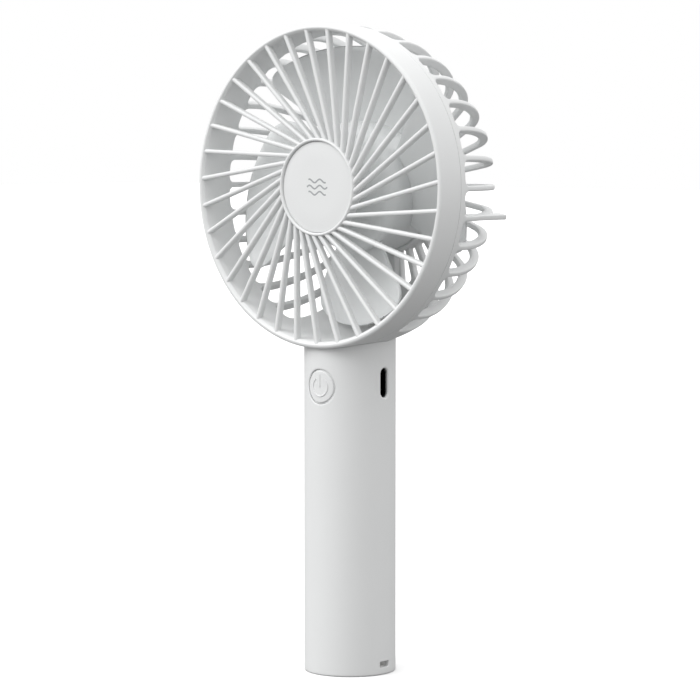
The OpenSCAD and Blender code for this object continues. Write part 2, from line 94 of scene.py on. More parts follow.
@dataclass(frozen=True)
class Layout:
    """The main sizes and places of the fan, in millimetres, taken from the CAD nodes."""

    head_z: float
    head_r: float
    front_y: float
    seam_y: float
    hub_rear_y: float
    handle_r: float
    button: Vector
    tip_r: float
    impeller_rear_y: float
    port_z: float

    @classmethod
    def from_frame(cls) -> "Layout":
        """Measures the CAD nodes' boxes."""
        grille_low, grille_high = node_box("front_grille")
        cage_low, cage_high = node_box("rear_cage")
        tube_low, tube_high = node_box("handle_tube")
        button_low, button_high = node_box("power_button")
        blade_low, blade_high = node_box("impeller")
        port_low, port_high = node_box("usb_shell")
        return cls(
            head_z=(grille_low.z + grille_high.z) / 2,
            head_r=(grille_high.x - grille_low.x) / 2,
            front_y=grille_low.y,
            seam_y=cage_low.y - SEAM_GAP,
            hub_rear_y=cage_high.y,
            handle_r=(tube_high.x - tube_low.x) / 2,
            button=(button_low + button_high) / 2,
            tip_r=(blade_high.x - blade_low.x) / 2,
            impeller_rear_y=blade_high.y,
            port_z=(port_low.z + port_high.z) / 2,
        )

    def on_head(self, radius: float, angle: float, y: float) -> Point:
        """Gives a point by its radius and angle about the fan's axis.

        Args:
            radius: Distance from the axis.
            angle: Degrees from +X, counter-clockwise from the front.
            y: Place along the axis.

        Returns:
            The point.
        """
        turn = math.radians(angle)
        return radius * math.cos(turn), y, self.head_z + radius * math.sin(turn)

    def on_handle(self, radius: float, angle: float, z: float) -> Point:
        """Gives a point by its radius and angle about the handle's axis.

        Args:
            radius: Distance from the axis.
            angle: Degrees from -Y towards +X.
            z: Height.

        Returns:
            The point.
        """
        turn = math.radians(angle)
        return radius * math.sin(turn), -radius * math.cos(turn), z


# ---- finishes ----------------------------------------------------------------------------


def linear(hex_colour: str) -> tuple[float, float, float, float]:
    """Turns an sRGB hex colour to Blender's linear values.

    Args:
        hex_colour: Six hex digits.

    Returns:
        Red, green, blue and alpha.
    """
    shares = [int(hex_colour[i : i + 2], 16) / 255 for i in (0, 2, 4)]
    red, green, blue = (s / 12.92 if s <= 0.04045 else ((s + 0.055) / 1.055) ** 2.4 for s in shares)
    return red, green, blue, 1.0


def add_node(
    tree: bpy.types.NodeTree, kind: str, settings: dict | None = None, links: dict | None = None
) -> bpy.types.Node:
    """Adds one node with its settings and links.

    Args:
        tree: The tree that gets the node.
        kind: The node's type name.
        settings: Values by socket name or number, or by the node's own property name.
        links: Output sockets by the name or number of the input that they feed.

    Returns:
        The new node.
    """
    node = tree.nodes.new(kind)
    for key, value in (settings or {}).items():
        if isinstance(key, int) or key in node.inputs:
            node.inputs[key].default_value = value
        else:
            setattr(node, key, value)
    for key, source in (links or {}).items():
        tree.links.new(source, node.inputs[key])
    return node


@dataclass(frozen=True)
class Finish:
    """A material whose own pattern drives its colour, gloss and relief.

    `low` and `high` are its colours where the pattern is lowest and highest.
    """

    name: str
    low: str
    high: str
    made: ClassVar[dict[str, bpy.types.Material]] = {}

    def material(self) -> bpy.types.Material:
        """Gives the material, made on first use."""
        if self.name not in self.made:
            material = bpy.data.materials.new(self.name)
            material.use_nodes = True
            material.node_tree.nodes.clear()
            self.dress(material.node_tree)
            self.made[self.name] = material
        return self.made[self.name]

    def dress(self, tree: bpy.types.NodeTree) -> None:
        """Builds the finish's nodes in an empty tree."""
        raise NotImplementedError

    def close(
        self,
        tree: bpy.types.NodeTree,
        tone: bpy.types.NodeSocket,
        relief: bpy.types.NodeSocket,
        bump: tuple[float, float],
        settings: dict,
        gloss: tuple[float, float] | None = None,
    ) -> None:
        """Mixes the colours, raises the relief and adds the surface shader and the output.

        Args:
            tree: The material's tree.
            tone: Runs from the low colour to the high one.
            relief: The height of the pattern.
            bump: The relief's strength, and its depth in millimetres.
            settings: Values for the shader's own sockets.
            gloss: Middle roughness, and how far the relief moves it either way.
        """
        strength, depth = bump
        colour = add_node(
            tree,
            "ShaderNodeMix",
            {"data_type": "RGBA", 6: linear(self.low), 7: linear(self.high)},
            {0: tone},
        )
        raised = add_node(
            tree, "ShaderNodeBump", {"Strength": strength, "Distance": depth * MM}, {"Height": relief}
        )
        links = {"Base Color": colour.outputs[2], "Normal": raised.outputs["Normal"]}
        if gloss:
            middle, spread = gloss
            rough = add_node(
                tree,
                "ShaderNodeMapRange",
                {"To Min": middle - spread, "To Max": middle + spread},
                {"Value": relief},
            )
            links["Roughness"] = rough.outputs["Result"]
        shader = add_node(tree, "ShaderNodeBsdfPrincipled", settings, links)
        add_node(tree, "ShaderNodeOutputMaterial", links={"Surface": shader.outputs["BSDF"]})


@dataclass(frozen=True)
class MouldedPlastic(Finish):
    """ABS or a like plastic from a spark-eroded mould: an even fine grain and soft, broad gloss."""

    roughness: float = 0.5
    grain_mm: float = 0.35
    grain_depth: float = 0.05
    cloud_mm: float = 18.0

    def dress(self, tree: bpy.types.NodeTree) -> None:
        """Mixes two near shades over the piece and raises the mould's grain."""
        place = add_node(tree, "ShaderNodeTexCoord").outputs["Object"]
        cloud, grain = (
            add_node(
                tree, "ShaderNodeTexNoise", {"Scale": 1 / (size * MM), "Detail": detail}, {"Vector": place}
            ).outputs["Fac"]
            for size, detail in ((self.cloud_mm, 3.0), (self.grain_mm, 2.0))
        )
        self.close(tree, cloud, grain, (0.35, self.grain_depth), {"IOR": 1.53}, (self.roughness, 0.05))


@dataclass(frozen=True)
class WorkedMetal(Finish):
    """Drawn, turned or pressed metal: fine lines along one axis and slightly uneven gloss."""

    roughness: float = 0.3
    line_mm: float = 0.25
    stretch: tuple[float, float, float] = (1.0, 0.05, 1.0)

    def dress(self, tree: bpy.types.NodeTree) -> None:
        """Draws tool marks in colour, roughness and height."""
        place = add_node(tree, "ShaderNodeTexCoord").outputs["Object"]
        drawn = add_node(tree, "ShaderNodeMapping", {"Scale": self.stretch}, {"Vector": place})
        marks = add_node(
            tree,
            "ShaderNodeTexNoise",
            {"Scale": 1 / (self.line_mm * MM), "Detail": 4.0},
            {"Vector": drawn.outputs["Vector"]},
        ).outputs["Fac"]
        self.close(tree, marks, marks, (0.2, 0.02), {"Metallic": 1.0}, (self.roughness, 0.1))


@dataclass(frozen=True)
class WoundWire(Finish):
    """Enamelled copper wound in even turns: rounded stripes one wire apart under clear enamel."""

    wire_mm: float = 0.3

    def dress(self, tree: bpy.types.NodeTree) -> None:
        """Stripes the coil with turns of wire along the fan's axis."""
        place = add_node(tree, "ShaderNodeTexCoord").outputs["Object"]
        turns = add_node(
            tree,
            "ShaderNodeTexWave",
            {"bands_direction": "DIAGONAL", "Scale": 1 / (20 * self.wire_mm * MM), "Distortion": 0.4},
            {"Vector": place},
        ).outputs["Fac"]
        enamel = {"Metallic": 0.6, "Roughness": 0.3, "Coat Weight": 0.5, "Coat Roughness": 0.1}
        self.close(tree, turns, turns, (0.8, self.wire_mm / 2), enamel)


@dataclass(frozen=True)
class Laminate(Finish):
    """Glass-epoxy circuit board under solder mask: a dark ground with paler track lines."""

    track_mm: float = 1.2

    def dress(self, tree: bpy.types.NodeTree) -> None:
        """Lays square cells of track over the mask and raises their edges."""
        place = add_node(tree, "ShaderNodeTexCoord").outputs["Object"]
        tracks = add_node(
            tree,
            "ShaderNodeTexVoronoi",
            {"distance": "CHEBYCHEV", "feature": "F1", "Scale": 1 / (self.track_mm * MM)},
            {"Vector": place},
        ).outputs["Distance"]
        mask = {"Roughness": 0.35, "IOR": 1.55, "Coat Weight": 0.3, "Coat Roughness": 0.15}
        self.close(tree, tracks, tracks, (0.4, 0.04), mask)


@dataclass(frozen=True)
class PorousSolid(Finish):
    """Open foam, sintered bronze or pressed ferrite: pores in colour and height."""

    pore_mm: float
    roughness: float
    metallic: float = 0.0

    def dress(self, tree: bpy.types.NodeTree) -> None:
        """Pits the surface with pores of the stated size."""
        place = add_node(tree, "ShaderNodeTexCoord").outputs["Object"]
        pores = add_node(
            tree, "ShaderNodeTexVoronoi", {"Scale": 1 / (self.pore_mm * MM)}, {"Vector": place}
        ).outputs["Distance"]
        dull = {"Roughness": self.roughness, "Metallic": self.metallic}
        self.close(tree, pores, pores, (0.6, self.pore_mm / 3), dull)


@dataclass(frozen=True)
class StudioFloor(Finish):
    """Painted board: `high`, white, to look at, and `low` for the light that it throws back up."""

    roller_mm: float = 3.0

    def dress(self, tree: bpy.types.NodeTree) -> None:
        """Gives the board a faint roller texture and a darker shade for bounced light."""
        place = add_node(tree, "ShaderNodeTexCoord").outputs["Object"]
        roller = add_node(
            tree,
            "ShaderNodeTexNoise",
            {"Scale": 1 / (self.roller_mm * MM), "Detail": 2.0},
            {"Vector": place},
        ).outputs["Fac"]
        seen = add_node(tree, "ShaderNodeLightPath").outputs["Is Camera Ray"]
        self.close(tree, seen, roller, (0.05, 0.1), {"Roughness": 0.95, "Specular IOR Level": 0.1})


# ABS off a finely eroded mould reads as a quiet, near-white grey with no sharp highlight.
SHELL_ABS = MouldedPlastic("moulded_ABS_shell", "DFE0E0", "DBDCDC", roughness=0.48)
# The cap's smoother ABS is a touch brighter, so the disc stands out from its ring.
CAP_ABS = MouldedPlastic("satin_ABS_cap", "DFE0E0", "DCDDDD", roughness=0.4, grain_mm=0.25)
# Blades are polished moulded ABS: their smoother face is a little glossier than the shell. Their colour is a
# touch paler than the shell's as painted light, lifting the blades that sit in shade inside the cage.
BLADE_ABS = MouldedPlastic("moulded_ABS_blade", "E2E4E4", "DCDEDE", roughness=0.42)
# The button's ABS matches the handle, so only its groove and raised sign tell it apart.
BUTTON_ABS = MouldedPlastic("moulded_ABS_button", "DFE0E0", "DCDDDD", roughness=0.46)
# Pad-printed ink is a flat mid grey with almost no gloss.
PRINT_INK = MouldedPlastic("pad_printed_ink", "9FA2A3", "9A9D9E", roughness=0.7, grain_mm=0.15)
# Painted light: the plug's ABS is coloured whiter than the shell, so the lit inner wall of the lanyard slot
# shows bright.
PLUG_ABS = MouldedPlastic("plug_ABS_painted_light", "F6F6F5", "F2F2F1", roughness=0.45)
# Nylon takes a slightly yellow, waxy look.
CARRIER_NYLON = MouldedPlastic("moulded_nylon_carrier", "D9D8D2", "CFCEC8", roughness=0.55)
# Glass-filled nylon insulators are coloured through and a little speckled.
INSULATOR_NYLON = MouldedPlastic("glass_filled_nylon", "2F7A5C", "286B50", roughness=0.5)
# Liquid-crystal polymer in connectors and switches is dense black with a fine sheen.
BLACK_LCP = MouldedPlastic("moulded_black_LCP", "121314", "1B1C1D", roughness=0.45)
# PVC sleeves and wire coats are smooth and evenly coloured.
CELL_SLEEVE = MouldedPlastic("shrunk_PVC_sleeve", "2C56A8", "28509D", roughness=0.3, grain_mm=0.6)
WHITE_PVC = MouldedPlastic("extruded_PVC_white", "E2E2E0", "DADAD8", roughness=0.35)
RED_PVC = MouldedPlastic("extruded_PVC_red", "A8201F", "9A1C1C", roughness=0.35)
# Steel stampings and screws carry zinc or nickel: bright, with fine drawn lines.
NICKEL_STEEL = WorkedMetal("nickel_plated_steel", "AEB0B1", "C9CACB", roughness=0.28)
SHAFT_STEEL = WorkedMetal("ground_bearing_steel", "BFC0C2", "D2D3D4", roughness=0.18)
CAN_STEEL = WorkedMetal("drawn_steel_can", "8F9192", "A9ABAC", roughness=0.35)
# Laminated silicon steel shows its stacked sheets across the axis.
CORE_STEEL = WorkedMetal(
    "laminated_silicon_steel", "50555B", "70757B", roughness=0.4, line_mm=0.5, stretch=(0.05, 1.0, 0.05)
)
# Painted shade: the port's nickel-plated steel shell is coloured near-black, so the opening reads as black.
PORT_STEEL = WorkedMetal("port_steel_painted_shade", "1A1B1D", "26282A", roughness=0.4)
SPRING_STEEL = WorkedMetal("spring_steel", "9C9586", "B8B0A0", roughness=0.3)
TURNED_BRASS = WorkedMetal("turned_brass", "B08C3E", "C8A24E", roughness=0.25)
# Oil-filled bronze is dull and finely porous.
SINTERED_BRONZE = PorousSolid("sintered_bronze", "7D5434", "A8734A", 0.15, 0.45, metallic=0.9)
# Bonded ferrite is matte, dark and slightly gritty.
FERRITE = PorousSolid("bonded_ferrite", "2B2C2E", "3B3C3F", 0.2, 0.65)
# Polyurethane foam is soft and full of open cells.
GREY_FOAM = PorousSolid("polyurethane_foam", "4A4C4D", "77797A", 0.8, 0.95)
ENAMELLED_COPPER = WoundWire("enamelled_copper_wire", "6E3414", "C06A30")
SOLDER_MASK = Laminate("glass_epoxy_board", "0F4A2C", "1D6A42")
# The studio floor is painted board.
PAINTED_FLOOR = StudioFloor("painted_studio_board", "7A7A7A", "FAFAFA")


# ---- mesh work ---------------------------------------------------------------------------


def arc(
    centre: tuple[float, float], size: float, start: float, end: float, steps: int = 4
) -> Outline:
    """Gives points along an arc.

    Args:
        centre: The arc's centre.
        size: Its radius.
        start: First angle in degrees.
        end: Last angle in degrees.
        steps: Number of stretches between points.

    Returns:
        The points, both ends included.
    """
    turns = [math.radians(start + (end - start) * i / steps) for i in range(steps + 1)]
    return [(centre[0] + size * math.cos(t), centre[1] + size * math.sin(t)) for t in turns]


class Moulding:
    """The points and faces of one piece, gathered in millimetres."""

    def __init__(self) -> None:
        """Starts with an empty mesh."""
        self.mesh = bmesh.new()

    def row(self, points: Sequence[Point]) -> Row:
        """Adds a row of vertices at points in millimetres."""
        return [self.mesh.verts.new(Vector(p) * MM) for p in points]

    def join(self, first: Row, second: Row, closed: bool = True) -> None:
        """Lays faces between two rows.

        Args:
            first: One row, or a single vertex.
            second: The other row, or a single vertex.
            closed: True if the rows come back to their start.
        """
        count = max(len(first), len(second))
        for i in range(count if closed else count - 1):
            j = (i + 1) % count
            ends = (first[i % len(first)], first[j % len(first)])
            far_ends = (second[j % len(second)], second[i % len(second)])
            corners = list(dict.fromkeys(ends + far_ends))
            self.mesh.faces.new(corners)

    def lathe(
        self, outline: Outline, place: Callable[[float, float, float], Point], segments: int = 128
    ) -> None:
        """Turns an outline about an axis; one that starts on the axis also ends there.

        Args:
            outline: Radius and height of each point.
            place: Gives the point for a radius, an angle and a height.
            segments: Number of steps round the axis.
        """
        turns = [360 * i / segments for i in range(segments)]
        rows = [
            self.row([place(r, a, h) for a in (turns if r > 0 else [0.0])]) for r, h in outline
        ]
        if outline[0][0] > 0:
            rows.append(rows[0])
        for first, second in pairwise(rows):
            self.join(first, second)

    def sweep(self, sections: Sequence[Sequence[Point]]) -> None:
        """Skins closed sections in order and caps both ends."""
        rows = [self.row(section) for section in sections]
        for first, second in pairwise(rows):
            self.join(first, second)
        self.mesh.faces.new(rows[0])
        self.mesh.faces.new(rows[-1])

    def stroke(
        self,
        path: Outline,
        width: float,
        height: float,
        place: Callable[[float, float, float], Point],
    ) -> None:
        """Lays a raised line with a rounded top along a flat path.

        Args:
            path: Points of the line's middle.
            width: The line's width.
            height: How far it stands up.
            place: Gives the point for two flat coordinates and a lift.
        """
        half, sunk = width / 2, -0.15
        flat, flank = half * 0.6, height * 0.5
        crown = [(-half, sunk), (-half, flank), (-flat, height), (flat, height), (half, flank), (half, sunk)]
        sections = []
        for i, (u, v) in enumerate(path):
            before, after = path[max(i - 1, 0)], path[min(i + 1, len(path) - 1)]
            way = Vector((after[0] - before[0], after[1] - before[1])).normalized()
            sections.append([place(u - s * way.y, v + s * way.x, lift) for s, lift in crown])
        self.sweep(sections)

    def piece(
        self,
        name: str,
        finish: Finish,
        body: Body,
        replaces: Sequence[str] = (),
        sharp: float = 38.0,
    ) -> bpy.types.Object:
        """Turns the gathered mesh into a finished piece on its body.

        Args:
            name: The piece's name.
            finish: What it is made of.
            body: The body that it rides on.
            replaces: CAD nodes that it stands for.
            sharp: Edges that bend more than this many degrees stay crisp.

        Returns:
            The new object.
        """
        bmesh.ops.recalc_face_normals(self.mesh, faces=self.mesh.faces)
        data = bpy.data.meshes.new(name)
        self.mesh.to_mesh(data)
        self.mesh.free()
        data.shade_smooth()
        data.set_sharp_from_angle(angle=math.radians(sharp))
        data.materials.append(finish.material())
        made = bpy.data.objects.new(name, data)
        bpy.context.collection.objects.link(made)
        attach(made, body.value)
        if replaces:
            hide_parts(*replaces)
        LOG.info("%s: %d faces, %s, on %s", name, len(data.polygons), finish.name, body.value)
        return made


# ---- front grille ------------------------------------------------------------------------


@dataclass
class FrontGrille:
    """The front moulding: rim, slanting ribs and the ring that holds the cap."""

    layout: Layout
    ribs: int = 35
    rib_offset: float = 9.3
    rib_tip_angle: float = 2.51
    rib_width: float = 1.4
    rib_depth: float = 2.3
    lip_width: float = 1.2
    bevel: float = 0.9
    edge_r: float = 1.0
    wall: float = 2.8
    hub_r: float = 15.25
    hub_wall: float = 1.0
    hub_recess: float = 0.15
    floor_depth: float = 3.9
    floor_t: float = 1.1
    boss_r: float = 3.0
    rim_steps: int = 210
    arris: float = 0.05
    tongue_inset: float = 1.4
    tongue_length: float = 1.6
    crown: float = 0.55
    draft: float = 0.08
    foot_ease: float = 0.2
    rib_steps: int = 4
    rib_overlap: tuple[float, float] = (0.45, 0.35)
    crest: tuple[float, float] = (0.45, 0.16)
    rib_tip_inset: float = 1.8

    def rim(self, made: Moulding) -> None:
        """Turns the rim, with its rounded outer corner, inner bevel and rear tongue."""
        outer, front, seam = self.layout.head_r, self.layout.front_y, self.layout.seam_y
        lip, inner, tongue = outer - self.lip_width, outer - self.wall, outer - self.tongue_inset
        bevel, ease, end = self.bevel, self.arris, seam + self.tongue_length
        corner = arc((outer - self.edge_r, front + self.edge_r), self.edge_r, 0, -90, 6)
        outline = [(outer - SEAM_CHAMFER, seam), (outer, seam - SEAM_CHAMFER), *corner]
        outline += [(lip + ease, front), (lip - ease, front + 0.02)]
        outline += [(lip - bevel + ease, front + bevel - ease), (lip - bevel, front + bevel + 0.07)]
        outline += [(inner, seam), (inner, end), (tongue, end), (tongue, seam)]
        made.lathe(outline, self.layout.on_head, self.rim_steps)

    def hub_ring(self, made: Moulding) -> None:
        """Turns the cap's ring with its rounded lip, and the floor behind the cap."""
        front = self.layout.front_y + self.hub_recess
        floor = self.layout.front_y + self.floor_depth
        half = self.hub_wall / 2
        lip = arc((self.hub_r - half, front + half), half, 0, -180, 8)
        outline = [(self.hub_r, floor), *lip, (self.hub_r - self.hub_wall, floor - self.floor_t)]
        outline += [(self.boss_r, floor - self.floor_t), (self.boss_r, floor)]
        made.lathe(outline, self.layout.on_head, DISC_STEPS)

    def rib_section(self) -> Outline:
        """Gives a rib's section: crowned front, slightly drafted sides, eased rear corners."""
        half = self.rib_width / 2
        turns = [math.radians(a) for a in range(0, 181, 20)]
        crown = [(half * math.cos(t), self.crown * (1 - math.sin(t))) for t in turns]
        rear, depth, ease = half - self.draft, self.rib_depth, self.foot_ease
        foot = [(-rear, depth - ease), (-rear + ease, depth), (rear - ease, depth), (rear, depth - ease)]
        return crown + foot

    def rib(self, made: Moulding, turn: float) -> None:
        """Sweeps one straight rib from the cap's ring to the rim.

        Args:
            made: The moulding that gets the rib.
            turn: Direction of the rib in degrees.
        """
        lip = self.layout.head_r - self.lip_width
        into_hub, into_lip = self.rib_overlap
        start = math.sqrt((self.hub_r - into_hub) ** 2 - self.rib_offset**2)
        finish = math.sqrt((lip + into_lip) ** 2 - self.rib_offset**2)
        first, last = (self.layout.front_y + back for back in self.crest)
        sections = []
        for i in range(self.rib_steps + 1):
            along = start + (finish - start) * i / self.rib_steps
            front = first + (last - first) * i / self.rib_steps
            section = []
            for across, depth in self.rib_section():
                side = across - self.rib_offset
                angle = turn + math.degrees(math.atan2(side, along))
                section.append(self.layout.on_head(math.hypot(along, side), angle, front + depth))
            sections.append(section)
        made.sweep(sections)

    def build(self) -> None:
        """Makes the whole grille as one piece."""
        made = Moulding()
        self.rim(made)
        self.hub_ring(made)
        reach = math.degrees(math.asin(self.rib_offset / (self.layout.head_r - self.rib_tip_inset)))
        for i in range(self.ribs):
            self.rib(made, self.rib_tip_angle + reach + 360 * i / self.ribs)
        made.piece("grille_moulding", SHELL_ABS, Body.FIXED, ["front_grille"])


@dataclass
class HubCap:
    """The disc in the middle of the grille, with a generic breeze sign printed on it."""

    layout: Layout
    radius: float = 14.15
    front: float = 0.9
    depth: float = 1.7
    edge_r: float = 0.25
    boss_r: float = 2.8
    boss_length: float = 4.2
    line_reach: float = 4.2
    line_steps: int = 16
    outer_share: float = 0.85
    half_wave: float = 2.1
    wave_height: float = 0.55
    wave_gap: float = 1.9
    ink_width: float = 0.5
    ink_height: float = 0.03

    def disc(self) -> None:
        """Turns the disc with a softened edge."""
        face = self.layout.front_y + self.front
        rear, boss = face + self.depth, face + self.boss_length
        edge = arc((self.radius - self.edge_r, face + self.edge_r), self.edge_r, -90, 0, 4)
        outline = [(0.0, face), (self.radius * 0.6, face), *edge, (self.radius, rear)]
        outline += [(self.boss_r, rear), (self.boss_r, boss), (0.0, boss)]
        made = Moulding()
        made.lathe(outline, self.layout.on_head, DISC_STEPS)
        made.piece("cap_disc", CAP_ABS, Body.FIXED, ["hub_cap"])

    def breeze_sign(self) -> None:
        """Prints three short waves, the usual sign for moving air."""
        face = self.layout.front_y + self.front

        def place(u: float, v: float, lift: float) -> Point:
            return u, face - lift, self.layout.head_z + v

        made = Moulding()
        for line in (-1, 0, 1):
            reach = self.line_reach * (1.0 if line == 0 else self.outer_share)
            steps = [reach * (i / self.line_steps - 0.5) * 2 for i in range(self.line_steps + 1)]
            middle = line * self.wave_gap
            path = [
                (u, middle + self.wave_height * math.sin(math.pi * u / self.half_wave)) for u in steps
            ]
            made.stroke(path, self.ink_width, self.ink_height, place)
        made.piece("breeze_sign", PRINT_INK, Body.FIXED)

    def build(self) -> None:
        """Makes the disc and its sign."""
        self.disc()
        self.breeze_sign()


# ---- rear cage ---------------------------------------------------------------------------


@dataclass
class RearCage:
    """The rear moulding: a shell that slots divide into hooked ribs, its hub and hub cover."""

    layout: Layout
    places: int = 34
    rib_t: float = 1.7
    edge: float = 0.45
    slot_start: float = 2.4
    corner_r: float = 1.8
    fullness: float = 1.62
    wall: float = 2.8
    plate_t: float = 2.5
    shoulder: float = 13.85
    inner_shoulder: float = 12.2
    hub_r: float = 21.0
    skirt_t: float = 1.1
    skirt_front: float = 3.6
    channel_width: float = 5.4
    channel_depth: float = 2.3
    channel_reach: float = 33.5
    slot_end_gap: float = 0.4
    closed_half_angle: float = 26.6
    closed_face_r: float = 33.0
    band_overlap: float = 1.0
    rebate: float = 1.3
    rebate_depth: float = 1.7
    rim_height: float = 0.6
    rim_t: float = 2.1
    rim_edges: tuple[float, float] = (0.4, 0.3)
    dish_depth: float = 1.1
    bore_r: float = 3.7
    skirt_edge: float = 0.25
    channel_edge: float = 0.4
    channel_sunk: float = 0.5
    cover_edge: float = 0.3
    groove_share: float = 0.78
    groove_half: float = 0.3
    groove_depth: float = 0.25
    tail_place: int = -1
    tail_y: float = 17.3
    tail_ease: float = 0.3
    tail_relief: float = 0.05
    tail_reach: tuple[float, float] = (0.5, 0.9)
    end_corner_r: float = 0.9
    corner_steps: int = 6
    run_steps: int = 20
    band_steps: int = 8
    shoulder_steps: int = 60
    face_steps: int = 20
    band_rows: tuple[float, float] = (-1.2, -0.7)
    closed_gap: float = 1.0
    hub_overlap: float = 0.6

    def __post_init__(self) -> None:
        """Traces the wall's outer and inner lines against the distance along the outer one."""
        self.rear_y = self.layout.hub_rear_y - self.rim_height
        self.pitch = 360 / self.places
        self.lines = self.trace()

    def trace(self) -> list[tuple[float, tuple[float, float], tuple[float, float]]]:
        """Gives distance, outer point and inner point from the slots' front ends to the hub."""
        outer_r = self.layout.head_r
        inner_r = outer_r - self.wall
        pairs = []
        for i in range(self.band_steps):
            y = (self.layout.seam_y + self.slot_start) * (1 - i / self.band_steps)
            pairs.append(((outer_r, y), (inner_r, y)))
        for i in range(self.shoulder_steps + 1):
            turn = math.radians(90 * i / self.shoulder_steps)
            u, v = math.cos(turn) ** (2 / self.fullness), math.sin(turn) ** (2 / self.fullness)
            outer = (outer_r - self.shoulder * (1 - u), self.rear_y * v)
            inner = (inner_r - self.inner_shoulder * (1 - u), (self.rear_y - self.plate_t) * v)
            pairs.append((outer, inner))
        ends = pairs[-1]
        for i in range(1, self.face_steps + 1):
            share = i / self.face_steps
            pairs.append(tuple((r + (self.hub_r - 1 - r) * share, y) for r, y in ends))
        lines = [(0.0, *pairs[0])]
        for (before, _), (outer, inner) in pairwise(pairs):
            lines.append((lines[-1][0] + math.dist(before, outer), outer, inner))
        return lines

    def wall_point(self, along: float, depth: float) -> tuple[float, float]:
        """Gives radius and Y of a point in the wall.

        Args:
            along: Distance from the slots' front ends; less than 0 is towards the seam.
            depth: 0 on the outside, 1 on the inside.

        Returns:
            The radius and the Y place.
        """
        if along <= 0:
            outer = (self.layout.head_r, self.lines[0][1][1] + along)
            inner = (self.layout.head_r - self.wall, outer[1])
        else:
            beyond = (i for i, line in enumerate(self.lines) if line[0] >= along)
            index = next(beyond, len(self.lines) - 1)
            (low, outer_a, inner_a), (high, outer_b, inner_b) = self.lines[index - 1], self.lines[index]
            share = min((along - low) / (high - low), 1.0)
            outer = tuple(a + (b - a) * share for a, b in zip(outer_a, outer_b))
            inner = tuple(a + (b - a) * share for a, b in zip(inner_a, inner_b))
        return outer[0] + (inner[0] - outer[0]) * depth, outer[1] + (inner[1] - outer[1]) * depth

    def along_at_radius(self, radius: float) -> float:
        """Gives the distance along the rear face at which the outer line reaches a radius."""
        return next(line[0] for line in self.lines if line[1][0] <= radius)

    def is_closed(self, cell: int) -> bool:
        """True if the rib place lies in the solid wall over the handle."""
        turn = (cell + 0.5) * self.pitch
        return abs(turn - 270) < self.closed_half_angle

    def stations(self) -> tuple[list[float], dict[bool, int], int]:
        """Lists the distances at which the wall is divided.

        Returns:
            The distances, the index where slots start by closed or open place, and where they end.
        """
        length = self.lines[-1][0]
        end = self.along_at_radius(self.hub_r + self.slot_end_gap)
        face = self.along_at_radius(self.closed_face_r)
        step = math.radians(90 / self.corner_steps)
        rounding = [1 - math.cos(step * i) for i in range(self.corner_steps + 1)]
        corner = [self.corner_r * r for r in rounding]
        small = [self.end_corner_r * r for r in rounding]
        span = face - self.closed_gap - corner[-1]
        steps = [corner[-1] + span * i / self.run_steps for i in range(1, self.run_steps)]
        places = [*self.band_rows, *corner, *steps, *(face + c for c in corner)]
        middle = (face + corner[-1] + end - small[-1]) / 2
        places += [middle, *(end - c for c in reversed(small)), end + self.hub_overlap, length]
        first = len(self.band_rows)
        starts = {False: first, True: first + len(corner) + len(steps)}
        return places, starts, len(places) - 3

    def slot_edge(self, index: int, start: int, end: int) -> tuple[float, float, float]:
        """Describes the slot's edge beside a rib at one division.

        Args:
            index: The division.
            start: The division where the slot starts.
            end: The division where it ends.

        Returns:
            How much wider the rib is there, and the two parts of the edge's outward direction,
            across and along.
        """
        step = math.radians(90 / self.corner_steps)
        if index <= start + self.corner_steps:
            turn = step * max(index - start, 0)
            return self.corner_r * (1 - math.sin(turn)), math.sin(turn), math.cos(turn)
        if index >= end - self.corner_steps:
            turn = step * max(end - index, 0)
            return self.end_corner_r * (1 - math.sin(turn)), math.sin(turn), -math.cos(turn)
        return 0.0, 1.0, 0.0

    def edge_layers(self) -> list[tuple[float, float]]:
        """Gives how far each layer of the rounded slot edge stands back, and its depth share."""
        share = self.edge / self.plate_t
        turns = [math.radians(a) for a in (0, 30, 60, 90)]
        outer = [(self.edge * (1 - math.sin(t)), share * (1 - math.cos(t))) for t in turns]
        return outer + [(back, 1 - depth) for back, depth in reversed(outer)]

    def shell(self, made: Moulding) -> None:
        """Lays the slotted wall, with rounded edges all round each slot."""
        places, starts, end = self.stations()
        layers = self.edge_layers()

        def vertex(rib: int, side: int, index: int, start: int, layer: int) -> Point:
            back, depth = layers[layer]
            wider, across, forward = self.slot_edge(index, start, end)
            shift = back * forward if start <= index <= end else 0.0
            radius, y = self.wall_point(places[index] - shift, depth)
            half = self.rib_t / 2 + wider - back * across
            angle = rib * self.pitch + side * math.degrees(math.asin(half / radius))
            return radius, angle, y

        def blend(left: Point, right: Point, share: float) -> Point:
            return tuple(a + (b - a) * share for a, b in zip(left, right))

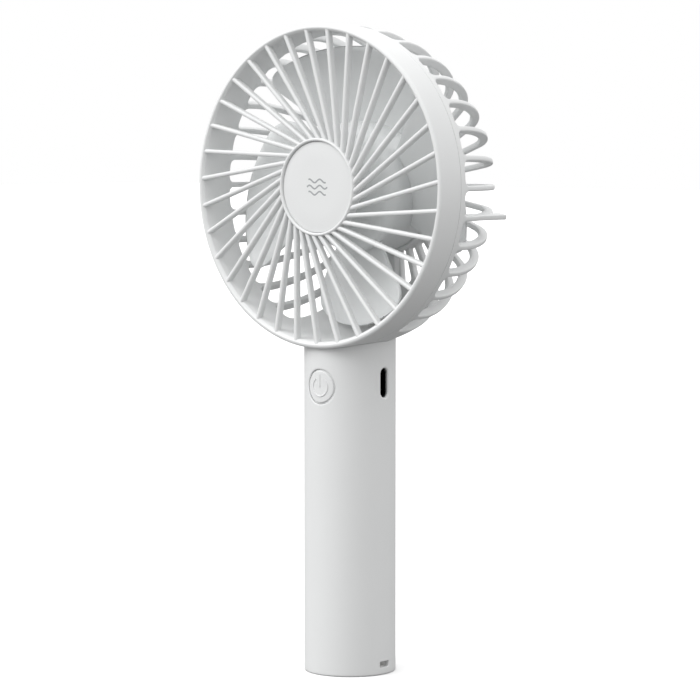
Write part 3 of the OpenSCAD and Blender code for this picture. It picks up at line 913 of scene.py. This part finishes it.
        shares = (0.25, 0.5, 0.75)
        top, bottom = 0, len(layers) - 1
        spine = {
            face: [
                [made.row([self.layout.on_head(*self.spine_point(k, place, face))])[0] for place in places]
                for k in range(self.places)
            ]
            for face in (top, bottom)
        }
        rows_by_cell = []
        for cell in range(self.places):
            start = starts[self.is_closed(cell)]
            rows = {}
            for layer in range(len(layers)):
                on_face = layer in (top, bottom)
                for index in range(len(places)):
                    in_slot = start <= index <= end
                    if not (in_slot or on_face):
                        continue
                    left = vertex(cell, 1, index, start, layer)
                    right = vertex(cell + 1, -1, index, start, layer)
                    points = [left, *(blend(left, right, s) for s in shares), right]
                    if start < index < end:
                        points = [left, right]
                    rows[layer, index] = made.row([self.layout.on_head(*p) for p in points])
            rows_by_cell.append((start, rows))
        for cell, (start, rows) in enumerate(rows_by_cell):
            following = (cell + 1) % self.places
            for face in (top, bottom):
                for index in range(len(places) - 1):
                    here, there = rows[face, index], rows[face, index + 1]
                    near, far = spine[face][cell], spine[face][following]
                    made.mesh.faces.new((near[index], here[0], there[0], near[index + 1]))
                    made.mesh.faces.new((here[-1], far[index], far[index + 1], there[-1]))
                    if index < start or index >= end:
                        made.join(here, there, closed=False)
            for layer in range(len(layers) - 1):
                for index in range(start, end):
                    quad = [rows[layer, index], rows[layer, index + 1]]
                    deeper = [rows[layer + 1, index], rows[layer + 1, index + 1]]
                    for side in (0, -1):
                        corners = (quad[0][side], quad[1][side], deeper[1][side], deeper[0][side])
                        made.mesh.faces.new(corners)
                for index in (start, end):
                    made.join(rows[layer, index], rows[layer + 1, index], closed=False)
            for index in (0, len(places) - 1):
                above = [spine[top][cell][index], *rows[top, index], spine[top][following][index]]
                below = [spine[bottom][cell][index], *rows[bottom, index], spine[bottom][following][index]]
                made.join(above, below, closed=False)

    def spine_point(self, rib: int, along: float, face: int) -> Point:
        """Gives radius, angle and Y on a rib's middle line, outside for face 0 or else inside."""
        radius, y = self.wall_point(along, 0.0 if face == 0 else 1.0)
        return radius, rib * self.pitch, y

    def band(self, made: Moulding) -> None:
        """Turns the plain band between the seam and the slots' front ends."""
        outer, seam = self.layout.head_r, self.layout.seam_y
        back, step = seam + self.slot_start - self.band_overlap, seam + self.rebate_depth
        front, inner, rebate = seam + SEAM_GAP, outer - self.wall, outer - self.rebate
        outline = [(rebate, front), (outer - SEAM_CHAMFER, front), (outer, front + SEAM_CHAMFER)]
        outline += [(outer, back), (inner, back), (inner, step), (rebate, step)]
        made.lathe(outline, self.layout.on_head, self.places * 6)

    def tail(self, made: Moulding) -> None:
        """Adds the straight square-ended tail on one rib."""
        outer = self.layout.head_r - self.tail_reach[0]
        inner = self.layout.head_r - self.wall - self.tail_reach[1]
        half, ease = self.rib_t / 2 - self.tail_relief, self.tail_ease
        corners = [(inner, -half), (outer, -half), (outer, half), (inner, half)]
        sections = []
        for y, inset in ((0.0, 0.0), (self.tail_y - ease, 0.0), (self.tail_y, ease)):
            section = []
            for i, (radius, side) in enumerate(corners):
                start = 180 + 90 * i
                middle = (radius + (ease if i in (0, 3) else -ease), side + (ease if i < 2 else -ease))
                for r, s in arc(middle, ease, start, start + 90, 3):
                    pulled = Vector((r, s)).lerp(Vector(((inner + outer) / 2, 0)), inset / (outer - inner))
                    angle = self.tail_place * self.pitch + math.degrees(math.atan2(pulled.y, pulled.x))
                    section.append(self.layout.on_head(pulled.length, angle, y))
            sections.append(section)
        made.sweep(sections)

    def hub(self, made: Moulding) -> None:
        """Turns the rear hub, a dish with a raised rounded rim."""
        rear, floor = self.layout.hub_rear_y, self.rear_y - self.plate_t
        large, small = self.rim_edges
        rim = arc((self.hub_r - large, rear - large), large, 0, 90, 4)
        inside = arc((self.hub_r - self.rim_t, rear - small), small, 90, 180, 3)
        front, inner, ease = floor - self.skirt_front, self.hub_r - self.skirt_t, self.skirt_edge
        dish, dish_r = rear - self.dish_depth, self.hub_r - self.rim_t - small
        outline = [(self.bore_r, floor), (inner, floor), (inner, front + ease), (inner + ease, front)]
        outline += [(self.hub_r - ease, front), (self.hub_r, front + ease), *rim, *inside]
        outline += [(dish_r, dish), (self.bore_r, dish)]
        made.lathe(outline, self.layout.on_head, DISC_STEPS)

    def lead_channel(self, made: Moulding) -> None:
        """Adds the covered channel that carries the motor's leads along the closed wall."""
        wall = self.rear_y - self.plate_t
        rear, front = wall + self.channel_sunk, wall - self.channel_depth
        half, ease = self.channel_width / 2, self.channel_edge
        left = arc((-half + ease, front + ease), ease, 180, 270, 3)
        right = arc((half - ease, front + ease), ease, 270, 360, 3)
        section = [(-half, rear), *left, *right, (half, rear)]
        inner, outer = self.hub_r - self.skirt_t / 2, self.channel_reach
        made.sweep([[(x, y, self.layout.head_z - r) for x, y in section] for r in (inner, outer)])

    def cover(self) -> None:
        """Makes the disc over the motor's fixings, with one shallow groove."""
        low, high = node_box("rear_hub_cover")
        radius = (high.x - low.x) / 2
        edge = arc((radius - self.cover_edge, high.y - self.cover_edge), self.cover_edge, 90, 0, 4)
        groove, half = radius * self.groove_share, self.groove_half
        outline = [(0.0, high.y), (groove - half, high.y), (groove, high.y - self.groove_depth)]
        outline += [(groove + half, high.y), *edge, (radius, low.y), (0.0, low.y)]
        made = Moulding()
        made.lathe(outline, self.layout.on_head, DISC_STEPS)
        made.piece("rear_cover_disc", CAP_ABS, Body.FIXED, ["rear_hub_cover"], sharp=30)

    def build(self) -> None:
        """Makes the cage and its cover."""
        made = Moulding()
        self.shell(made)
        self.band(made)
        self.tail(made)
        self.hub(made)
        self.lead_channel(made)
        made.piece("cage_moulding", SHELL_ABS, Body.FIXED, ["rear_cage"])
        self.cover()


# ---- impeller ----------------------------------------------------------------------------


@dataclass
class Impeller:
    """Four twisted blades on a domed hub."""

    layout: Layout
    blades: int = 4
    first_blade: float = 42.0
    sweep: float = 72.0
    rake: float = 8.0
    front_y: tuple[float, float] = (2.1, -8.0)
    rear_y: tuple[float, float] = (11.0, 9.5)
    thickness: float = 1.5
    camber: float = 0.9
    corner: float = 6.0
    root_sunk: float = 1.0
    columns: int = 22
    plain_rings: int = 8
    corner_rings: int = 6
    edge_fullness: float = 3.2
    last_ring: float = 0.93
    last_ring_share: float = 0.55
    hub_r: float = 20.5
    hub_wall: float = 1.6
    hub_edge: float = 0.3
    crown: tuple[tuple[float, float], ...] = ((0.0, -3.0), (8.0, -2.95))
    shoulder: tuple[float, float] = (4.5, 4.2)
    shoulder_y: float = 1.6
    pocket_y: float = 2.35
    boss_r: float = 12.0
    boss_y: float = -0.8

    def blade_surface(self, radius: float, share: float) -> tuple[float, float]:
        """Gives the angle and Y of a blade's middle surface.

        Args:
            radius: Distance from the axis.
            share: 0 at the front edge, 1 at the rear edge.

        Returns:
            Degrees from the front tip corner, and Y.
        """
        out = (radius - self.hub_r) / (self.layout.tip_r - self.hub_r)
        front = self.front_y[0] + (self.front_y[1] - self.front_y[0]) * out
        rear = self.rear_y[0] + (self.rear_y[1] - self.rear_y[0]) * out
        camber = self.camber * math.sin(math.pi * share) * radius / self.layout.tip_r
        return -self.sweep * share - self.rake * (1 - out), front + (rear - front) * share - camber

    def blade(self, made: Moulding, turn: float) -> None:
        """Skins one blade with rounded tip corners and rounded edges.

        Args:
            made: The moulding that gets the blade.
            turn: Angle of its front tip corner.
        """
        root, tip = self.hub_r - self.root_sunk, self.layout.tip_r
        plain = tip - self.corner
        step = math.radians(90 / self.corner_rings)
        steps = [root + (plain - root) * i / self.plain_rings for i in range(self.plain_rings + 1)]
        steps += [plain + self.corner * math.sin(step * i) for i in range(1, self.corner_rings + 1)]
        sections = []
        for radius in steps:
            over = max(radius - plain, 0.0)
            cut = self.corner - math.sqrt(max(self.corner**2 - over**2, 0.0))
            chord = math.radians(self.sweep) * radius
            trim = cut / chord
            upper, lower = [], []
            for j in range(self.columns + 1):
                turn_over = math.pi * j / self.columns
                bend = (1 - math.cos(turn_over)) / 2
                share = trim + (1 - 2 * trim) * bend
                angle, y = self.blade_surface(radius, share)
                half = self.thickness / 2 * min(1.0, (math.sin(turn_over) * self.edge_fullness) ** 0.5)
                if over > self.corner * self.last_ring:
                    half *= self.last_ring_share
                upper.append(self.layout.on_head(radius, turn + angle, y - half))
                lower.append(self.layout.on_head(radius, turn + angle, y + half))
            sections.append(upper + lower[-2:0:-1])
        made.sweep(sections)

    def hub(self, made: Moulding) -> None:
        """Turns the hub: a low dome in front and an open pocket for the motor behind."""
        rear = self.layout.impeller_rear_y
        pocket, ease = self.hub_r - self.hub_wall, self.hub_edge
        wide, tall = self.shoulder
        quarter = arc((0.0, 0.0), 1.0, -90, 0, 8)
        outline = [*self.crown]
        outline += [(self.hub_r - wide + wide * r, self.shoulder_y + tall * h) for r, h in quarter]
        outline += [(self.hub_r, rear - ease), (self.hub_r - ease, rear), (pocket, rear)]
        outline += [(pocket, self.pocket_y), (self.boss_r, self.pocket_y)]
        outline += [(self.boss_r, self.boss_y), (0.0, self.boss_y)]
        made.lathe(outline, self.layout.on_head)

    def build(self) -> None:
        """Makes the impeller as one piece."""
        made = Moulding()
        self.hub(made)
        for i in range(self.blades):
            self.blade(made, self.first_blade + 360 * i / self.blades)
        made.piece("impeller_moulding", BLADE_ABS, Body.SPINNING, ["impeller"], sharp=50)


# ---- handle ------------------------------------------------------------------------------


@dataclass(frozen=True)
class Opening:
    """A rounded opening through the handle's wall, centred on one of the wall's columns."""

    column: int
    z: float
    half_width: float
    half_height: float
    corner: float
    edge: float
    columns: int
    rows: tuple[int, int]

    def outline(self, share: float, grown: float) -> tuple[float, float]:
        """Gives a point on the outline, clockwise from the middle of its top.

        Args:
            share: Part of the way round.
            grown: How far outside the opening's own outline the point lies.

        Returns:
            The point's offsets across and up.
        """
        flat_w = self.half_width - self.corner
        flat_h = self.half_height - self.corner
        bend = math.pi / 2 * self.corner
        lengths = [flat_w, bend, 2 * flat_h, bend, 2 * flat_w, bend, 2 * flat_h, bend, flat_w]
        left = share * sum(lengths)
        centres = [(flat_w, flat_h), (flat_w, -flat_h), (-flat_w, -flat_h), (-flat_w, flat_h)]
        ways = [(0, 1), (1, 0), (0, -1), (-1, 0), (0, 1)]
        reach = self.corner + grown
        for part, length in enumerate(lengths):
            if left > length + 1e-9:
                left -= length
                continue
            if part % 2:
                cx, cz = centres[part // 2]
                turn = math.pi / 2 * (1 - part // 2) - (left / length) * math.pi / 2
                return cx + reach * math.cos(turn), cz + reach * math.sin(turn)
            side = part // 2
            way = ways[side]
            from_centre = (0.0, flat_h) if side == 0 else centres[side - 1]
            step = (way[1] * left, -way[0] * left)
            return from_centre[0] + way[0] * reach + step[0], from_centre[1] + way[1] * reach + step[1]
        return 0.0, flat_h + reach


@dataclass
class Handle:
    """The handle tube with its three openings and the saddle cut under the head."""

    layout: Layout
    cage: RearCage
    columns: int = 96
    wall: float = 1.9
    base_edge: float = 0.5
    saddle_gap: float = 0.05
    button_reach: float = 8.0
    row_step: float = 1.0
    base_rows: tuple[float, ...] = (0.5, 1.0, 1.5, 2.2, 3.3, 4.4, 5.1, 5.8)
    long_rows: int = 10
    top_rows: int = 5
    slot_z: float = 3.3
    blends: tuple[float, ...] = (0.45, 0.75, 0.9, 1.0)

    def __post_init__(self) -> None:
        """Works out the row heights and the openings."""
        button = self.layout.button
        low = button.z - self.button_reach
        count = round(2 * self.button_reach / self.row_step)
        first_long = self.base_rows[-1]
        long_run = [first_long + (low - first_long) * i / self.long_rows for i in range(1, self.long_rows)]
        fine = [low + self.row_step * i for i in range(count + 1)]
        self.rows = [*self.base_rows, *long_run, *fine]
        first_fine = len(self.base_rows) + len(long_run)
        quarter = self.columns // 4
        last_fine = first_fine + count
        self.openings = [
            Opening(0, button.z, 5.5, 5.5, corner=5.4999, edge=0.3, columns=8, rows=(first_fine, last_fine)),
            Opening(
                quarter, self.layout.port_z, 1.7, 4.65, 1.6999, 0.6, 4, rows=(first_fine + 2, last_fine)
            ),
            Opening(quarter, self.slot_z, 2.1, 0.95, corner=0.35, edge=0.15, columns=4, rows=(1, 6)),
        ]

    def surface(self, radius: float, across: float, z: float, column: int) -> Point:
        """Gives a point on the tube from its straight offset across an opening's middle."""
        angle = 360 * column / self.columns + math.degrees(math.asin(across / radius))
        return self.layout.on_handle(radius, angle, z)

    def saddle_z(self, radius: float, angle: float) -> float:
        """Gives the height at which the tube meets the head.

        Args:
            radius: The tube's radius there.
            angle: Degrees from -Y towards +X.

        Returns:
            The height.
        """
        x, y, _ = self.layout.on_handle(radius, angle, 0.0)
        head = self.layout.head_r
        if y > 0:
            full = (1 - (y / self.cage.rear_y) ** self.cage.fullness) ** (1 / self.cage.fullness)
            head -= self.cage.shoulder * (1 - full)
        return self.layout.head_z - math.sqrt((head + self.saddle_gap) ** 2 - x * x)

    def grid(self, made: Moulding, radius: float) -> list[Row]:
        """Adds the tube's regular vertices, leaving out those inside the openings' patches."""
        rows = []
        angles = [360 * c / self.columns for c in range(self.columns)]
        for z in self.rows:
            rows.append(made.row([self.layout.on_handle(radius, a, z) for a in angles]))
        for step in range(1, self.top_rows + 1):
            share = step / self.top_rows
            heights = [
                self.rows[-1] + (self.saddle_z(radius, a) - self.rows[-1]) * share for a in angles
            ]
            points = [self.layout.on_handle(radius, a, z) for a, z in zip(angles, heights)]
            rows.append(made.row(points))
        return rows

    def patch(
        self, made: Moulding, rows: list[Row], radius: float, opening: Opening
    ) -> tuple[Row, list[float]]:
        """Blends the regular grid into an opening's outline.

        Args:
            made: The tube's moulding.
            rows: The tube's regular vertices.
            radius: Radius of this skin.
            opening: The opening.

        Returns:
            The last row, on the outline grown by the opening's edge radius, and each of its
            points' share of the way round.
        """
        low, high = opening.rows
        span = range(-opening.columns, opening.columns + 1)
        top = [(c, high) for c in span if c >= 0]
        right = [(opening.columns, r) for r in range(high - 1, low, -1)]
        bottom = [(c, low) for c in reversed(span)]
        left = [(-opening.columns, r) for r in range(low + 1, high)]
        last = [(c, high) for c in span if c < 0]
        around = [*top, *right, *bottom, *left, *last]
        border = [rows[r][(opening.column + c) % self.columns] for c, r in around]
        flat = [
            (radius * math.sin(math.radians(360 * c / self.columns)), self.rows[r] - opening.z)
            for c, r in around
        ]
        steps = [math.dist(a, b) for a, b in zip(flat, flat[1:] + flat[:1])]
        total = sum(steps)
        shares = [sum(steps[:i]) / total for i in range(len(steps))]
        targets = [opening.outline(s, opening.edge) for s in shares]
        before = border
        for blend in self.blends:
            points = []
            for (x, z), (tx, tz) in zip(flat, targets):
                across, up = x + (tx - x) * blend, z + (tz - z) * blend
                points.append(self.surface(radius, across, opening.z + up, opening.column))
            after = made.row(points)
            made.join(before, after)
            before = after
        return before, shares

    def skin(self, made: Moulding, radius: float) -> tuple[list[Row], list[tuple[Row, list[float]]]]:
        """Lays one skin of the tube with its patches.

        Args:
            made: The tube's moulding.
            radius: The skin's radius.

        Returns:
            The regular rows, and each opening's last row with its shares round the outline.
        """
        rows = self.grid(made, radius)
        inside = set()
        for opening in self.openings:
            for c in range(-opening.columns, opening.columns):
                for r in range(*opening.rows):
                    inside.add(((opening.column + c) % self.columns, r))
        for r, (lower, upper) in enumerate(pairwise(rows)):
            for c in range(self.columns):
                n = (c + 1) % self.columns
                if (c, r) not in inside:
                    made.mesh.faces.new((lower[c], lower[n], upper[n], upper[c]))
        return rows, [self.patch(made, rows, radius, opening) for opening in self.openings]

    def build(self) -> None:
        """Makes the tube as one closed piece."""
        made = Moulding()
        outer, inner = self.layout.handle_r, self.layout.handle_r - self.wall
        outer_rows, outer_mouths = self.skin(made, outer)
        inner_rows, inner_mouths = self.skin(made, inner)
        for opening, (mouth, shares), (back, _) in zip(self.openings, outer_mouths, inner_mouths):
            before = mouth
            for turn in (30, 60, 90):
                grown = opening.edge * (1 - math.sin(math.radians(turn)))
                depth = opening.edge * (1 - math.cos(math.radians(turn)))
                points = []
                for share in shares:
                    across, up = opening.outline(share, grown)
                    points.append(self.surface(outer - depth, across, opening.z + up, opening.column))
                after = made.row(points)
                made.join(before, after)
                before = after
            made.join(before, back)
        base = [outer_rows[0]]
        angles = [360 * c / self.columns for c in range(self.columns)]
        for radius, z in arc((outer - self.base_edge, self.base_edge), self.base_edge, 0, -90, 4)[1:]:
            base.append(made.row([self.layout.on_handle(radius, a, z) for a in angles]))
        base.append(made.row([self.layout.on_handle(inner, a, 0.0) for a in angles]))
        base.append(inner_rows[0])
        for lower, upper in pairwise(base):
            made.join(lower, upper)
        made.join(outer_rows[-1], inner_rows[-1])
        self.drop_loose(made)
        made.piece("handle_shell", SHELL_ABS, Body.FIXED, ["handle_tube"])

    def drop_loose(self, made: Moulding) -> None:
        """Removes grid vertices that no face uses."""
        loose = [v for v in made.mesh.verts if not v.link_faces]
        bmesh.ops.delete(made.mesh, geom=loose, context="VERTS")


@dataclass
class PowerButton:
    """The flush round button with a raised power sign."""

    layout: Layout
    radius: float = 5.0
    edge: float = 0.25
    step: float = 0.5
    step_r: float = 5.4
    rim_r: float = 5.8
    rim_t: float = 0.8
    sign_r: float = 2.95
    sign_width: float = 0.5
    sign_height: float = 0.2
    bar_top: float = 4.0
    half_gap: float = 33.0
    face_rings: tuple[float, ...] = (1.2, 2.4, 3.6, 4.4)

    def face_point(self, across: float, up: float, lift: float) -> Point:
        """Gives a point on the button's face, which follows the handle."""
        radius = self.layout.handle_r + lift
        return across, -math.sqrt(radius**2 - across**2), self.layout.button.z + up

    def disc(self) -> None:
        """Makes the button's body with a curved face and a softened edge."""
        back = node_box("power_button")[1].y
        turns = [2 * math.pi * i / 72 for i in range(72)]
        made = Moulding()
        rows = [made.row([self.face_point(0.0, 0.0, 0.0)])]
        drops = [(r, 0.0) for r in self.face_rings]
        drops += arc((self.radius - self.edge, -self.edge), self.edge, 90, 0, 4)
        drops += [(self.radius, -self.step), (self.step_r, -self.step)]
        for r, drop in drops:
            rows.append(made.row([self.face_point(r * math.cos(t), r * math.sin(t), drop) for t in turns]))
        lip = back - self.rim_t
        for r, y in ((self.step_r, lip), (self.rim_r, lip), (self.rim_r, back)):
            z = self.layout.button.z
            rows.append(made.row([(r * math.cos(t), y, z + r * math.sin(t)) for t in turns]))
        rows.append(made.row([(0.0, back, self.layout.button.z)]))
        for first, second in pairwise(rows):
            made.join(first, second)
        made.piece("button_disc", BUTTON_ABS, Body.PRESSED, ["power_button"])

    def sign(self) -> None:
        """Raises the power sign: a ring open at the top and an upright bar in the gap."""
        made = Moulding()
        ring = arc((0.0, 0.0), self.sign_r, 90 + self.half_gap, 450 - self.half_gap, 40)
        made.stroke(ring, self.sign_width, self.sign_height, self.face_point)
        bar = [(0.0, self.bar_top * i / 6) for i in range(7)]
        made.stroke(bar, self.sign_width, self.sign_height, self.face_point)
        made.piece("button_sign", BUTTON_ABS, Body.PRESSED, sharp=30)

    def build(self) -> None:
        """Makes the button and its sign."""
        self.disc()
        self.sign()


# ---- CAD nodes that keep their shape -----------------------------------------------------


@dataclass(frozen=True)
class KeptNodes:
    """The CAD nodes whose own shape is right, each with its finish."""

    finishes: tuple[tuple[Finish, tuple[str, ...]], ...] = (
        (SHELL_ABS, ("neck_collar",)),
        (PLUG_ABS, ("base_plug",)),
        (CAN_STEEL, ("rotor_can",)),
        (FERRITE, ("magnet_ring",)),
        (SHAFT_STEEL, ("motor_shaft",)),
        (SPRING_STEEL, ("shaft_clip", "switch_dome")),
        (TURNED_BRASS, ("bearing_housing",)),
        (SINTERED_BRONZE, ("front_bush", "rear_bush")),
        (CORE_STEEL, ("stator_core",)),
        (INSULATOR_NYLON, ("stator_insulator",)),
        (ENAMELLED_COPPER, ("stator_windings",)),
        (SOLDER_MASK, ("motor_board", "control_board")),
        (NICKEL_STEEL, ("motor_screws", "neck_screws", "battery_tabs")),
        (WHITE_PVC, ("motor_leads",)),
        (RED_PVC, ("battery_leads",)),
        (BLACK_LCP, ("switch_body", "switch_plunger", "board_components", "usb_tongue")),
        (PORT_STEEL, ("usb_shell",)),
        (CARRIER_NYLON, ("battery_chassis",)),
        (CELL_SLEEVE, ("battery_cell",)),
        (GREY_FOAM, ("battery_foam",)),
    )

    def build(self) -> None:
        """Dresses every kept node."""
        for finish, nodes in self.finishes:
            for node in nodes:
                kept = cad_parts[node]
                kept.data.materials.clear()
                kept.data.materials.append(finish.material())
                LOG.info("%s: CAD shape kept, %s", node, finish.name)


# ---- studio ------------------------------------------------------------------------------


@dataclass
class Studio:
    """The camera, the pale floor and soft light from above, the front and the left."""

    layout: Layout
    azimuth: float = 40.927
    pitch: float = 4.324
    distance: float = 0.92331
    target_z: float = 0.101798
    lens: float = 150.4
    key_strength: float = 1.4
    key_angle: float = 35.0
    key_from: tuple[float, float, float] = (-0.5, -0.7, 0.65)
    sky: float = 1.3
    ground: float = 0.1
    horizon: float = 0.15
    floor_size: float = 12.0

    def camera(self) -> None:
        """Places the camera on its line of sight to the fan."""
        turn, dip = math.radians(self.azimuth), math.radians(self.pitch)
        sight = Vector(
            (-math.sin(turn) * math.cos(dip), math.cos(turn) * math.cos(dip), -math.sin(dip))
        )
        data = bpy.data.cameras.new("camera")
        data.sensor_width = 36.0
        data.lens = self.lens
        camera = bpy.data.objects.new("camera", data)
        camera.location = Vector((0.0, 0.0, self.target_z)) - sight * self.distance
        camera.rotation_mode = "QUATERNION"
        camera.rotation_quaternion = sight.to_track_quat("-Z", "Y")
        bpy.context.collection.objects.link(camera)
        bpy.context.scene.camera = camera

    def floor(self) -> None:
        """Lays the floor."""
        half = self.floor_size / 2
        data = bpy.data.meshes.new("floor")
        corners = [(-half, -half, 0.0), (half, -half, 0.0), (half, half, 0.0), (-half, half, 0.0)]
        data.from_pydata(corners, [], [(0, 1, 2, 3)])
        data.materials.append(PAINTED_FLOOR.material())
        floor = bpy.data.objects.new("floor", data)
        bpy.context.collection.objects.link(floor)

    def lights(self) -> None:
        """Adds the broad key light and the even light of the pale room."""
        data = bpy.data.lights.new("key_light", "SUN")
        data.energy = self.key_strength
        data.angle = math.radians(self.key_angle)
        key = bpy.data.objects.new("key_light", data)
        key.rotation_mode = "QUATERNION"
        key.rotation_quaternion = (-Vector(self.key_from)).to_track_quat("-Z", "Y")
        bpy.context.collection.objects.link(key)
        world = bpy.data.worlds.new("pale_room")
        world.use_nodes = True
        tree = world.node_tree
        tree.nodes.clear()
        way = add_node(tree, "ShaderNodeTexCoord").outputs["Generated"]
        height = add_node(tree, "ShaderNodeSeparateXYZ", links={"Vector": way}).outputs["Z"]
        glow = add_node(
            tree,
            "ShaderNodeMapRange",
            {
                "From Min": -self.horizon,
                "From Max": self.horizon,
                "To Min": self.ground,
                "To Max": self.sky,
            },
            {"Value": height},
        )
        seen = add_node(tree, "ShaderNodeLightPath")
        strength = add_node(
            tree,
            "ShaderNodeMapRange",
            {"To Max": 1.0},
            {"Value": seen.outputs["Is Camera Ray"], "To Min": glow.outputs["Result"]},
        )
        room = add_node(
            tree,
            "ShaderNodeBackground",
            {"Color": linear("FFFFFF")},
            {"Strength": strength.outputs["Result"]},
        )
        add_node(tree, "ShaderNodeOutputWorld", links={"Surface": room.outputs["Background"]})
        bpy.context.scene.world = world

    def build(self) -> None:
        """Sets up the studio, with tones shown as they are lit."""
        self.camera()
        self.floor()
        self.lights()
        bpy.context.scene.view_settings.view_transform = "Standard"


def main() -> None:
    """Builds the studio and every sub-assembly in order."""
    logging.basicConfig(level=logging.INFO, format="%(message)s")
    layout = Layout.from_frame()
    Studio(layout).build()
    cage = RearCage(layout)
    for assembly in (
        FrontGrille(layout),
        HubCap(layout),
        cage,
        Impeller(layout),
        Handle(layout, cage),
        PowerButton(layout),
        KeptNodes(),
    ):
        assembly.build()


if __name__ == "__main__":
    main()
